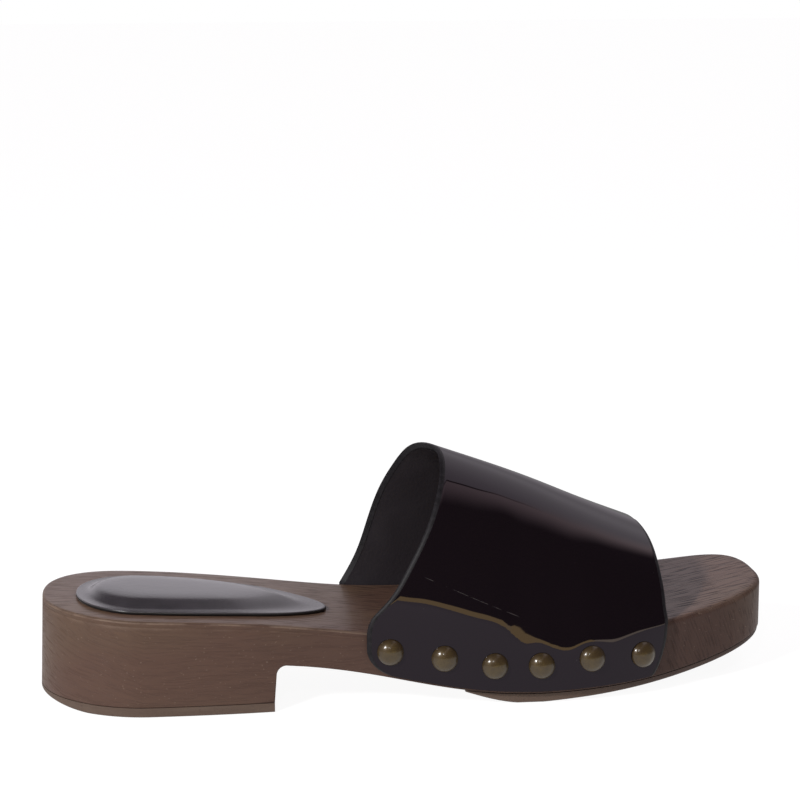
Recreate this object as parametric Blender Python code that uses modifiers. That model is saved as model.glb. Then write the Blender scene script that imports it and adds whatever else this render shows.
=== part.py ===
"""A right clog mule: a wooden sole with a low heel and one broad leather strap nailed to its sides.

Sizes are in millimetres. X runs from the back of the heel to the toe, Y from the outer (lateral) side
to the inner (medial) side, and Z up from the floor. The finished shoe is moved so that the origin lies
under the middle of its box.
"""

import math

import bmesh
import bpy
import numpy as np
from mathutils import Matrix, Vector

MM = 0.001
GAP = 0.3
SIDES = ("lateral", "medial")
SIDE_SIGN = {"lateral": -1.0, "medial": 1.0}

# Sole: half widths from the axis, footbed height and the wood's underside at each section
LENGTH = 256.0
SOLE_COLUMNS = ("x", "lateral", "medial", "top", "under")
SOLE_SECTIONS = (
    (0.0, 32.0, 30.8, 34.4, 16.5),
    (40.0, 35.5, 29.8, 32.9, 16.5),
    (80.0, 36.1, 24.0, 30.1, 16.2),
    (110.0, 35.3, 26.0, 26.1, 11.4),
    (140.0, 39.0, 31.6, 23.8, 5.7),
    (165.0, 41.4, 37.8, 22.8, 3.4),
    (185.0, 43.0, 41.5, 22.9, 4.1),
    (205.0, 40.2, 42.6, 24.0, 5.2),
    (225.0, 36.4, 36.6, 26.2, 7.7),
    (256.0, 35.5, 36.8, 31.5, 14.6),
)
HEEL_REACH = {"lateral": 35.0, "medial": 31.0}
HEEL_POWER = {"lateral": 2.05, "medial": 2.5}
TOE_REACH = {"lateral": 60.0, "medial": 45.0}
TOE_POWER = {"lateral": 2.6, "medial": 2.9}
TOE_SWING = 7.0
SWING_START = 120.0
TOP_ROUND = 1.6
TOP_ROUND_BULGE = 0.3
LOWER_ROUND = 0.8
DISH_DEPTH = 1.0
DISH_START = 110.0
DISH_END = 240.0
DISH_FADE = 40.0
DISH_SHARES = (0.15, 0.35, 0.65, 0.85)
HEEL_STEPS = 15
TOE_STEPS = 27
SHARP_ANGLE = 40.0

# Heel block
BREAST = 76.8
BREAST_LEAN = 0.7
BREAST_FILLET = 3.4
FILLET_STEPS = 4
BREAST_SPREAD = 6.0
HEEL_FLARE = 1.2
TOP_PIECE_THICKNESS = 3.0
TOP_PIECE_INSET = 0.0
TOP_PIECE_CHAMFER = 0.4
# The lift is cut up towards the heel's back
LIFT_BEVEL = 1.9
LIFT_BEVEL_REACH = 15.0
LIFT_BEVEL_POWER = 1.5

# Forefoot tread: its lower face, flat on the floor under the ball
TREAD_COLUMNS = ("x", "floor")
TREAD_SECTIONS = (
    (142.0, 4.5),
    (153.0, 1.2),
    (160.0, 0.0),
    (169.0, 0.0),
    (178.0, 0.7),
    (190.0, 1.6),
    (205.0, 2.8),
    (225.0, 5.4),
    (256.0, 12.6),
)
TREAD_INSET = 0.4
TREAD_CHAMFER = 0.9
TREAD_STEPS = 22

# Strap: the outer crest line, and where the band begins and ends at each angle round the foot
STRAP_WALL = 2.3
STRAP_GAP = 0.35
CREST_SHIFT = -1.0
CREST_COLUMNS = ("x", "height")
CREST_SECTIONS = (
    (100.0, 96.9),
    (134.0, 84.1),
    (172.0, 69.3),
    (191.0, 60.6),
    (212.0, 51.2),
)
BAND_COLUMNS = ("angle", "rear", "front")
BAND_SECTIONS = (
    (0.0, 108.2, 213.0),
    (4.0, 109.4, 213.0),
    (9.0, 114.0, 212.7),
    (20.0, 121.6, 212.5),
    (35.0, 128.9, 212.3),
    (50.0, 133.8, 212.1),
    (70.0, 137.2, 211.9),
    (90.0, 136.6, 211.1),
    (110.0, 131.3, 210.6),
    (130.0, 125.9, 210.8),
    (145.0, 120.9, 211.2),
    (160.0, 116.5, 211.6),
    (172.0, 112.0, 211.8),
    (180.0, 107.0, 212.0),
)
FLAP_RISE = 1.5
FLAP_SHARES = (0.0, 0.03, 0.1, 0.22, 0.4, 0.7)
REAR_CORNER = {"length": 9.0, "share": 0.6, "power": 2.0}
FRONT_CORNER = {"length": 5.7, "share": 1.0, "power": 1.5}
ARCH_STEPS = 24
STRAP_COLUMNS = 15

# Nails: each one's x along the flap and its height above the floor
NAIL_PLACES = (
    (116.3, 20.1),
    (134.6, 17.7),
    (151.6, 14.6),
    (167.7, 14.2),
    (184.9, 15.9),
    (203.2, 15.3),
)
NAIL_DIAMETER = 9.0
NAIL_DOME = 2.3
NAIL_RIM = 0.35
SHANK_DIAMETER = 2.0
SHANK_DEPTH = 8.0
HOLE_CLEARANCE = 0.3
HOLE_SIDES = 10
HOLE_STAND = 2.0
NAIL_SIDES = 16
DOME_STEPS = 5

# Heel pad: its centre line and half width along the footbed
PAD_COLUMNS = ("x", "centre", "half")
PAD_SECTIONS = (
    (11.5, -2.3, 21.6),
    (30.0, -3.7, 22.7),
    (47.0, -5.4, 22.4),
    (65.0, -7.6, 19.6),
    (80.0, -9.2, 16.0),
    (97.5, -9.9, 12.3),
)
PAD_HEEL_REACH = 20.0
PAD_HEEL_POWER = 2.1
PAD_FRONT_REACH = 25.0
PAD_FRONT_POWER = 2.0
PAD_STEPS = 22
# Its crown: the height above the footbed at each distance in from the rim
CROWN_SECTIONS = (
    (0.0, 1.0),
    (3.2, 1.02),
    (4.4, 1.35),
    (6.0, 2.45),
    (7.4, 3.15),
    (9.5, 3.55),
    (16.0, 3.85),
)

# Finishes: colour, roughness and metallic value
FINISHES = {
    "wood": ((0.115, 0.070, 0.050), 0.55, 0.0),
    "rubber": ((0.085, 0.055, 0.042), 0.75, 0.0),
    "patent_leather": ((0.008, 0.006, 0.007), 0.08, 0.0),
    "pad_leather": ((0.045, 0.043, 0.052), 0.45, 0.0),
    "antique_brass": ((0.30, 0.20, 0.07), 0.35, 1.0),
}


def column(rows, names, name):
    return np.array([row[names.index(name)] for row in rows])


def smooth_through(xs, ys, x):
    """A smooth curve through the points (xs, ys), read at x."""
    steps = np.diff(xs)
    slopes = np.diff(ys) / steps
    inner = (slopes[:-1] * steps[1:] + slopes[1:] * steps[:-1]) / (steps[1:] + steps[:-1])
    tangents = np.concatenate([slopes[:1], inner, slopes[-1:]])
    i = int(np.clip(np.searchsorted(xs, x, side="right") - 1, 0, len(xs) - 2))
    t = (x - xs[i]) / steps[i]
    start = (1 + 2 * t) * (1 - t) ** 2 * ys[i] + t * (1 - t) ** 2 * steps[i] * tangents[i]
    end = t * t * (3 - 2 * t) * ys[i + 1] + t * t * (t - 1) * steps[i] * tangents[i + 1]
    return float(start + end)


def curve_of(rows, names, key, value):
    """The function that reads one column of a table against another."""
    xs = column(rows, names, key)
    ys = column(rows, names, value)
    return lambda x: smooth_through(xs, ys, x)


def smoothstep(x, start, end):
    t = min(max((x - start) / (end - start), 0.0), 1.0)
    return t * t * (3 - 2 * t)


def rounded_end(distance, reach, power):
    """Share of the full width at a distance from a rounded end."""
    if distance >= reach:
        return 1.0
    return (1 - (1 - max(distance, 0.0) / reach) ** power) ** (1 / power)


sole_half = {side: curve_of(SOLE_SECTIONS, SOLE_COLUMNS, "x", side) for side in SIDES}
sole_top = curve_of(SOLE_SECTIONS, SOLE_COLUMNS, "x", "top")
sole_under = curve_of(SOLE_SECTIONS, SOLE_COLUMNS, "x", "under")
tread_curve = curve_of(TREAD_SECTIONS, TREAD_COLUMNS, "x", "floor")
crest_height = curve_of(CREST_SECTIONS, CREST_COLUMNS, "x", "height")
band_rear = curve_of(BAND_SECTIONS, BAND_COLUMNS, "angle", "rear")
band_front = curve_of(BAND_SECTIONS, BAND_COLUMNS, "angle", "front")
pad_centre = curve_of(PAD_SECTIONS, PAD_COLUMNS, "x", "centre")
pad_half = curve_of(PAD_SECTIONS, PAD_COLUMNS, "x", "half")


def tread_floor(x):
    return max(tread_curve(x), 0.0)


def lift_floor(x):
    """Height of the lift's lower face, raised at the back of the heel."""
    return LIFT_BEVEL * max(1 - x / LIFT_BEVEL_REACH, 0.0) ** LIFT_BEVEL_POWER


def sole_axis(x):
    return TOE_SWING * smoothstep(x, SWING_START, LENGTH)


def sole_edge(side, x):
    """Y of the sole's outline on one side."""
    heel = rounded_end(x, HEEL_REACH[side], HEEL_POWER[side])
    toe = rounded_end(LENGTH - x, TOE_REACH[side], TOE_POWER[side])
    return sole_axis(x) + SIDE_SIGN[side] * sole_half[side](x) * heel * toe


def outward(side, x):
    """Unit normal of the sole's outline, pointing away from the sole."""
    if x <= 0.0:
        return Vector((-1.0, 0.0))
    if x >= LENGTH:
        return Vector((1.0, 0.0))
    reach = min(0.05, x, LENGTH - x)
    slope = (sole_edge(side, x + reach) - sole_edge(side, x - reach)) / (2 * reach)
    return Vector((-slope, 1.0)).normalized() * SIDE_SIGN[side]


def edge_point(side, x, offset):
    """The outline's point at x, moved outwards by the offset."""
    return Vector((x, sole_edge(side, x))) + outward(side, x) * offset


def heel_flare(x, z):
    """How far the heel's wall stands out, growing towards the floor and the heel's back."""
    if x >= BREAST:
        return 0.0
    return HEEL_FLARE * (1 - x / BREAST) * (1 - z / sole_top(x))


def new_object(name, mesh, finish, collection, parent):
    part = bpy.data.objects.new(name, mesh)
    mesh.materials.append(material(finish))
    collection.objects.link(part)
    part.parent = parent
    return part


def material(name):
    found = bpy.data.materials.get(name)
    if found:
        return found
    colour, roughness, metallic = FINISHES[name]
    made = bpy.data.materials.new(name)
    made.use_nodes = True
    shader = made.node_tree.nodes["Principled BSDF"]
    shader.inputs["Base Color"].default_value = (*colour, 1.0)
    shader.inputs["Roughness"].default_value = roughness
    shader.inputs["Metallic"].default_value = metallic
    return made


def loft(name, rings, closed_ring=True, caps=False):
    """A skin through rings of points, in order. A ring that closes up to a line ends the skin by itself."""
    shape = bmesh.new()
    rows = [[shape.verts.new(Vector(point) * MM) for point in ring] for ring in rings]
    for row, after in zip(rows, rows[1:]):
        count = len(row) if closed_ring else len(row) - 1
        for i in range(count):
            j = (i + 1) % len(row)
            shape.faces.new((row[i], row[j], after[j], after[i]))
    if caps:
        shape.faces.new(rows[0])
        shape.faces.new(rows[-1])
    bmesh.ops.remove_doubles(shape, verts=shape.verts, dist=1e-6)
    bmesh.ops.dissolve_degenerate(shape, edges=shape.edges, dist=1e-7)
    bmesh.ops.recalc_face_normals(shape, faces=shape.faces)
    mesh = bpy.data.meshes.new(name)
    shape.to_mesh(mesh)
    shape.free()
    mesh.shade_smooth()
    mesh.set_sharp_from_angle(angle=math.radians(SHARP_ANGLE))
    return mesh


def heel_stations(count, end):
    """Places along the heel, close together at its round back."""
    return [end * (1 - math.cos(0.5 * math.pi * i / count)) for i in range(count + 1)]


def toe_stations(count, start):
    """Places from start to the toe, close together at its round tip."""
    return [start + (LENGTH - start) * math.sin(0.5 * math.pi * i / count) for i in range(count + 1)]


def breast_profile():
    """Points (x, z) up the heel's front wall and round its fillet to the underside."""
    foot = TOP_PIECE_THICKNESS + GAP
    wall_x = BREAST + BREAST_LEAN
    centre = Vector((wall_x + BREAST_FILLET, sole_under(wall_x + BREAST_FILLET) - BREAST_FILLET))
    points = [(BREAST, foot), (BREAST + 0.5 * BREAST_LEAN, 0.5 * (foot + centre.y))]
    for i in range(FILLET_STEPS + 1):
        turn = math.pi * (1 - 0.5 * i / FILLET_STEPS)
        points.append((centre.x + BREAST_FILLET * math.cos(turn), centre.y + BREAST_FILLET * math.sin(turn)))
    return points


def sole_stations():
    """For each section: x of the footbed, and x and z of the underside."""
    foot = TOP_PIECE_THICKNESS + GAP
    breast = breast_profile()
    first_top = BREAST - BREAST_SPREAD
    last_top = breast[-1][0] + BREAST_SPREAD
    sections = [(x, x, foot) for x in heel_stations(HEEL_STEPS, first_top)]
    for i, (x, z) in enumerate(breast):
        sections.append((first_top + (last_top - first_top) * (i + 1) / (len(breast) + 1), x, z))
    sections += [(x, x, sole_under(x)) for x in toe_stations(TOE_STEPS, last_top)]
    return sections


def dish(x, share):
    """Depth of the footbed's hollow, none at the heel and the toe."""
    rising = smoothstep(x, DISH_START, DISH_START + DISH_FADE)
    falling = smoothstep(x, DISH_END - DISH_FADE, DISH_END)
    return DISH_DEPTH * (rising - falling) * (1 - (2 * share - 1) ** 2)


def sole_side(side, top_x, under_x, under_z):
    """One side of a section, from the underside up to the footbed."""
    top_z = sole_top(top_x)
    bulge = TOP_ROUND_BULGE * TOP_ROUND
    profile = (
        (under_x, -LOWER_ROUND, under_z),
        (under_x, 0.0, under_z + LOWER_ROUND),
        (top_x, 0.0, top_z - TOP_ROUND),
        (top_x, -bulge, top_z - bulge),
        (top_x, -TOP_ROUND, top_z),
    )
    points = []
    for x, offset, z in profile:
        place = edge_point(side, x, offset + heel_flare(x, z))
        points.append((place.x, place.y, z))
    return points


def make_sole(collection, parent):
    rings = []
    for top_x, under_x, under_z in sole_stations():
        near = sole_side("lateral", top_x, under_x, under_z)
        far = sole_side("medial", top_x, under_x, under_z)
        across = []
        for share in DISH_SHARES:
            middle = Vector(near[-1]).lerp(Vector(far[-1]), share)
            middle.z -= dish(top_x, share)
            across.append(middle)
        rings.append(near + across + far[::-1])
    return new_object("sole", loft("sole", rings), "wood", collection, parent)


def slab_ring(x, inset, chamfer, top_z, under_z):
    """A thin section across the sole, its lower corners pulled in."""
    ring = []
    for side in SIDES:
        low = edge_point(side, x, heel_flare(x, under_z) - inset - chamfer)
        high = edge_point(side, x, heel_flare(x, top_z) - inset)
        pair = [(low.x, low.y, under_z), (high.x, high.y, top_z)]
        ring += pair if side == "lateral" else pair[::-1]
    return ring


def make_heel_top_piece(collection, parent):
    rings = []
    for x in heel_stations(HEEL_STEPS, BREAST):
        rings.append(slab_ring(x, TOP_PIECE_INSET, TOP_PIECE_CHAMFER, TOP_PIECE_THICKNESS, lift_floor(x)))
    mesh = loft("heel_top_piece", rings, caps=True)
    return new_object("heel_top_piece", mesh, "rubber", collection, parent)


def make_forefoot_tread(collection, parent):
    start = TREAD_SECTIONS[0][0]
    flat = [row[0] for row in TREAD_SECTIONS if row[1] == 0.0]
    rings = []
    for x in sorted(toe_stations(TREAD_STEPS, start) + flat):
        rings.append(slab_ring(x, TREAD_INSET, TREAD_CHAMFER, sole_under(x) - GAP, tread_floor(x)))
    mesh = loft("forefoot_tread", rings, caps=True)
    return new_object("forefoot_tread", mesh, "rubber", collection, parent)


def flap_point(side, x, share):
    """The strap's outer face on the sole's side, from the flap's lower edge up to the footbed."""
    place = edge_point(side, x, STRAP_GAP + STRAP_WALL)
    low = sole_under(x) + FLAP_RISE
    return Vector((place.x, place.y, low + share * (sole_top(x) - low)))


def arch_point(x, angle):
    """The strap's outer face over the foot, at an angle from the lateral edge over the crest."""
    side = "lateral" if angle <= 90.0 else "medial"
    foot = flap_point(side, x, 1.0)
    middle = sole_axis(x) + CREST_SHIFT
    turn = math.radians(angle)
    y = middle + (foot.y - middle) * abs(math.cos(turn))
    z = foot.z + (crest_height(x) - foot.z) * math.sin(turn)
    return Vector((foot.x, y, z))


def corner_cut(share, corner):
    """How far a flap's end is cut back, near its rounded lower corner."""
    return corner["length"] * (1 - rounded_end(share, corner["share"], corner["power"]))


def flap_row(side, share):
    angle = 0.0 if side == "lateral" else 180.0
    rear = band_rear(angle) + corner_cut(share, REAR_CORNER)
    front = band_front(angle) - corner_cut(share, FRONT_CORNER)
    return [flap_point(side, x, share) for x in np.linspace(rear, front, STRAP_COLUMNS)]


def arch_row(angle):
    return [arch_point(x, angle) for x in np.linspace(band_rear(angle), band_front(angle), STRAP_COLUMNS)]


def make_strap(collection, parent):
    rows = [flap_row("lateral", share) for share in FLAP_SHARES]
    rows += [arch_row(180.0 * i / ARCH_STEPS) for i in range(ARCH_STEPS + 1)]
    rows += [flap_row("medial", share) for share in FLAP_SHARES[::-1]]
    mesh = loft("strap", rows, closed_ring=False)
    strap = new_object("strap", mesh, "patent_leather", collection, parent)
    faces_out(mesh, Vector((0.0, 0.0, 1.0)))
    wall = strap.modifiers.new("leather", "SOLIDIFY")
    wall.thickness = STRAP_WALL * MM
    wall.offset = -1.0
    wall.use_even_offset = True
    return strap


def faces_out(mesh, way):
    """Turns an open sheet's faces so that, taken together, they look the given way."""
    together = sum((Vector(face.normal) * face.area for face in mesh.polygons), Vector())
    if together.dot(way) < 0:
        mesh.flip_normals()


def make_heel_pad(collection, parent):
    start = PAD_SECTIONS[0][0]
    end = PAD_SECTIONS[-1][0]
    length = end - start
    widest = max(column(PAD_SECTIONS, PAD_COLUMNS, "half"))
    rings = []
    for i in range(PAD_STEPS + 1):
        x = start + length * (0.5 - 0.5 * math.cos(math.pi * i / PAD_STEPS))
        ends = rounded_end(x - start, PAD_HEEL_REACH, PAD_HEEL_POWER)
        ends *= rounded_end(end - x, PAD_FRONT_REACH, PAD_FRONT_POWER)
        sides = {"lateral": [], "medial": []}
        for inset, height in ((0.0, 0.0), *CROWN_SECTIONS):
            place = start + inset + (x - start) * (1 - 2 * inset / length)
            half = pad_half(x) * ends * (1 - inset / widest)
            for side in SIDES:
                y = pad_centre(place) + SIDE_SIGN[side] * half
                sides[side].append((place, y, sole_top(place) + GAP + height))
        rings.append(sides["lateral"] + sides["medial"][::-1])
    return new_object("heel_pad", loft("heel_pad", rings), "pad_leather", collection, parent)


def nail_profile():
    """Points (radius, height) of a nail, from the top of its dome down to its tip."""
    radius = 0.5 * NAIL_DIAMETER
    shank = 0.5 * SHANK_DIAMETER
    point = GAP + STRAP_WALL + STRAP_GAP + SHANK_DEPTH
    dome = []
    for i in range(DOME_STEPS + 1):
        turn = math.radians(90.0 - 90.0 * i / DOME_STEPS)
        dome.append((radius * math.cos(turn), NAIL_RIM + NAIL_DOME * math.sin(turn)))
    return dome + [(radius, 0.0), (shank, 0.0), (shank, -point + shank), (0.0, -point)]


def nail_mesh():
    """A profile for the Screw modifier, in the XZ plane."""
    mesh = bpy.data.meshes.new("nail")
    points = [(radius * MM, 0.0, height * MM) for radius, height in nail_profile()]
    edges = [(i, i + 1) for i in range(len(points) - 1)]
    mesh.from_pydata(points, edges, [])
    return mesh


def nail_seat(side, x, height):
    """Where a nail's head meets the strap, with Z pointing out of the sole's side."""
    place = edge_point(side, x, STRAP_GAP + STRAP_WALL + GAP)
    way = outward(side, x).to_3d()
    seat = Matrix.Translation(Vector((place.x, place.y, height)) * MM)
    return seat @ way.to_track_quat("Z", "Y").to_matrix().to_4x4()


def make_nails(collection, parent):
    nails = []
    for side in SIDES:
        for number, (x, height) in enumerate(NAIL_PLACES, 1):
            nail = new_object(f"nail_{side}_{number}", nail_mesh(), "antique_brass", collection, parent)
            nail.matrix_local = nail_seat(side, x, height)
            turned = nail.modifiers.new("turned", "SCREW")
            turned.steps = NAIL_SIDES
            turned.render_steps = NAIL_SIDES
            turned.use_merge_vertices = True
            turned.merge_threshold = 1e-5
            turned.use_smooth_shade = True
            nails.append(nail)
    return nails


def make_hole_cutter(collection, parent):
    """The clearance holes of all the nails, as one cutter."""
    shape = bmesh.new()
    depth = STRAP_WALL + STRAP_GAP + SHANK_DEPTH + HOLE_CLEARANCE
    radius = 0.5 * SHANK_DIAMETER + HOLE_CLEARANCE
    for side in SIDES:
        for x, height in NAIL_PLACES:
            middle = Matrix.Translation(Vector((0.0, 0.0, 0.5 * (HOLE_STAND - depth) * MM)))
            bmesh.ops.create_cone(
                shape,
                cap_ends=True,
                segments=HOLE_SIDES,
                radius1=radius * MM,
                radius2=radius * MM,
                depth=(depth + HOLE_STAND) * MM,
                matrix=nail_seat(side, x, height) @ middle,
            )
    mesh = bpy.data.meshes.new("nail_holes")
    shape.to_mesh(mesh)
    shape.free()
    cutter = bpy.data.objects.new("nail_holes", mesh)
    collection.objects.link(cutter)
    cutter.parent = parent
    cutter.hide_render = True
    cutter.display_type = "WIRE"
    return cutter


def drill(part, cutter):
    hole = part.modifiers.new("nail_holes", "BOOLEAN")
    hole.operation = "DIFFERENCE"
    hole.solver = "EXACT"
    hole.object = cutter


def stand_at_origin(root, parts):
    """Moves the shoe so that the origin lies on the floor under the middle of its box."""
    bpy.context.view_layer.update()
    graph = bpy.context.evaluated_depsgraph_get()
    corners = []
    for part in parts:
        evaluated = part.evaluated_get(graph)
        corners += [evaluated.matrix_world @ Vector(corner) for corner in evaluated.bound_box]
    corners = np.array(corners)
    low = corners.min(axis=0)
    high = corners.max(axis=0)
    root.location = (-0.5 * (low[0] + high[0]), -0.5 * (low[1] + high[1]), -low[2])


def main():
    for old in list(bpy.data.objects):
        bpy.data.objects.remove(old, do_unlink=True)
    parts_collection = bpy.data.collections.new("clog_mule")
    cutters_collection = bpy.data.collections.new("cutters")
    for made in (parts_collection, cutters_collection):
        bpy.context.scene.collection.children.link(made)
    root = bpy.data.objects.new("clog_mule_origin", None)
    parts_collection.objects.link(root)

    sole = make_sole(parts_collection, root)
    strap = make_strap(parts_collection, root)
    parts = [
        sole,
        strap,
        make_heel_top_piece(parts_collection, root),
        make_forefoot_tread(parts_collection, root),
        make_heel_pad(parts_collection, root),
        *make_nails(parts_collection, root),
    ]
    cutter = make_hole_cutter(cutters_collection, root)
    for part in (sole, strap):
        drill(part, cutter)
    stand_at_origin(root, parts)


main()
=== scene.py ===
"""Looks of a right clog mule: stained wood, a patent leather strap, domed brass nails and a padded heel seat.

Shapes are worked out in millimetres in the shoe's own axes: X runs from the back of the heel to the toe, Y
from the outer (lateral) side to the inner (medial) side, and Z up from the floor. Each piece then stands in
the frame.
"""

import math

import bmesh
import bpy
import numpy as np
from bpy.props import FloatProperty, FloatVectorProperty, PointerProperty
from bpy.types import Operator, Panel, PropertyGroup
from mathutils import Matrix, Vector


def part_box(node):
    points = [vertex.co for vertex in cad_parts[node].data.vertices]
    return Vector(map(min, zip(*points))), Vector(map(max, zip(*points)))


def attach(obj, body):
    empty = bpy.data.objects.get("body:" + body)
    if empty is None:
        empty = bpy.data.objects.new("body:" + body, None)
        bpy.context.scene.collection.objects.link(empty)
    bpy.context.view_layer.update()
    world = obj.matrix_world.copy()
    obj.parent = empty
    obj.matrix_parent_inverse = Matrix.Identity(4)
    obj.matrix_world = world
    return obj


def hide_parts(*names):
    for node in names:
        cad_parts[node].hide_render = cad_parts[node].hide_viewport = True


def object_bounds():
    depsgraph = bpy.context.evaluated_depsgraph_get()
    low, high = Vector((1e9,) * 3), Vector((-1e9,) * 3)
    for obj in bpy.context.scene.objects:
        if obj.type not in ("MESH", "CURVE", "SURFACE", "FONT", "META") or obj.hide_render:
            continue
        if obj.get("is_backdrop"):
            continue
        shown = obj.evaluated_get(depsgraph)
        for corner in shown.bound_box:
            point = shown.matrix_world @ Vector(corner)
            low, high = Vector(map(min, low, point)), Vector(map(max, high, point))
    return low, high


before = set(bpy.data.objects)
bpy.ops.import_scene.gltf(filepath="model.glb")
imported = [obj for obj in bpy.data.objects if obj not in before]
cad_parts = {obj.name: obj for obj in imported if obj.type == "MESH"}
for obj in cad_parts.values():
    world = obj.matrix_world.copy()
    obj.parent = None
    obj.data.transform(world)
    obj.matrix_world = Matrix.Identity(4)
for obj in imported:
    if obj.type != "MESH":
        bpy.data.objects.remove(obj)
CAD_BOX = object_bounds()

bl_info = {
    "name": "Clog mule looks",
    "version": (1, 0, 0),
    "blender": (4, 5, 0),
    "location": "3D View > Sidebar > Clog mule",
    "description": "Builds the finished pieces of a clog mule around its packed solids",
    "category": "Object",
}

MM = 0.001
GAP = 0.3
SIDES = ("lateral", "medial")
SIDE_SIGN = {"lateral": -1.0, "medial": 1.0}
BODY = "root"
# Steps along the outline that find its widest place, and the half step that finds its slope
OUTLINE_STEPS = 1025
SLOPE_STEP = 0.05
# In metres: points closer than the first become one, and edges shorter than the second are dissolved
MERGE = 1e-6
SLIVER = 1e-7

# Sole: half widths from the axis, footbed height and the wood's underside at each section
LENGTH = 256.0
SOLE_COLUMNS = ("x", "lateral", "medial", "top", "under")
SOLE_SECTIONS = (
    (0.0, 32.0, 30.8, 34.4, 16.5),
    (40.0, 35.5, 29.8, 32.9, 16.5),
    (80.0, 36.1, 24.0, 30.1, 16.2),
    (110.0, 35.3, 26.0, 26.1, 11.4),
    (140.0, 39.0, 31.6, 23.8, 5.7),
    (165.0, 41.4, 37.8, 22.8, 3.4),
    (185.0, 43.0, 41.5, 22.9, 4.1),
    (205.0, 40.2, 42.6, 24.0, 5.2),
    (225.0, 36.4, 36.6, 26.2, 7.7),
    (256.0, 35.5, 36.8, 31.5, 14.6),
)
HEEL_REACH = {"lateral": 35.0, "medial": 31.0}
HEEL_POWER = {"lateral": 2.05, "medial": 2.5}
TOE_REACH = {"lateral": 60.0, "medial": 45.0}
TOE_POWER = {"lateral": 2.6, "medial": 2.9}
TOE_SWING = 7.0
SWING_START = 120.0
TOP_ROUND = {"heel": 0.9, "toe": 1.7}
TOP_ROUND_CHANGE = (80.0, 180.0)
LOWER_ROUND = 0.4
DISH_DEPTH = 1.0
DISH_START = 110.0
DISH_END = 240.0
DISH_FADE = 40.0
ROUND_STEPS = 5
WALL_STEPS = 12
FOOTBED_STEPS = 24
HEEL_STEPS = 64
TOE_STEPS = 110
# How far from the heel's back the grain begins to bend round it
GRAIN_BEND = 33.0
# A fine line cut round the sole, just under its top edge
LINE_DROP = 0.75
LINE_HALF = 0.4
LINE_DEPTH = 0.22
LINE_FADE = (90.0, 150.0)

# Heel block
BREAST = 76.8
BREAST_LEAN = 0.7
BREAST_FILLET = 3.4
BREAST_STEPS = 6
FILLET_STEPS = 10
BREAST_SPREAD = 6.0
HEEL_FLARE = 1.2
TOP_PIECE_THICKNESS = 3.0
TOP_PIECE_INSET = 0.0
TOP_PIECE_ROUND = 0.4
# The lift is cut up towards the heel's back
LIFT_BEVEL = 1.9
LIFT_BEVEL_REACH = 15.0
LIFT_BEVEL_POWER = 1.5
SEAM = 0.08
RUBBER_SHARP = 40.0

# Forefoot tread: its lower face, flat on the floor under the ball
TREAD_COLUMNS = ("x", "floor")
TREAD_SECTIONS = (
    (142.0, 4.5),
    (153.0, 1.2),
    (160.0, 0.0),
    (169.0, 0.0),
    (178.0, 0.7),
    (190.0, 1.6),
    (205.0, 2.8),
    (225.0, 5.4),
    (256.0, 12.6),
)
TREAD_INSET = 0.4
TREAD_ROUND = 0.9
TREAD_STEPS = 90

# Strap: the outer crest line, and where the band begins and ends at each angle round the foot
STRAP_STAND = 2.65
CREST_SHIFT = -1.0
CREST_COLUMNS = ("x", "height")
CREST_SECTIONS = (
    (100.0, 96.9),
    (134.0, 84.1),
    (172.0, 69.3),
    (191.0, 60.6),
    (212.0, 51.2),
)
BAND_COLUMNS = ("angle", "rear", "front")
BAND_SECTIONS = (
    (0.0, 108.2, 213.0),
    (4.0, 109.4, 213.0),
    (9.0, 114.0, 212.7),
    (20.0, 121.6, 212.5),
    (35.0, 128.9, 212.3),
    (50.0, 133.8, 212.1),
    (70.0, 137.2, 211.9),
    (90.0, 136.6, 211.1),
    (110.0, 131.3, 210.6),
    (130.0, 125.9, 210.8),
    (145.0, 120.9, 211.2),
    (160.0, 116.5, 211.6),
    (172.0, 112.0, 211.8),
    (180.0, 107.0, 212.0),
)
FLAP_RISE = 1.5
REAR_CORNER = {"length": 9.0, "share": 0.6, "power": 2.0}
FRONT_CORNER = {"length": 5.7, "share": 1.0, "power": 1.5}
FLAP_STEPS = 22
FLAP_CROWDING = 1.5
ARCH_STEPS = 120
STRAP_STEPS = 100
# The strap's front and rear edges roll inwards
ROLL_WIDTH = 1.6
ROLL_DEPTH = 1.2
ROLL_TURN = 0.9
ROLL_STEPS = 6
# Places of the lining and the cut edge among the strap's finishes, after its outer face
LINING = 1
CUT_EDGE = 2
CUT_EDGE_STEPS = 3
CUT_EDGE_SHARP = 50.0

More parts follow.
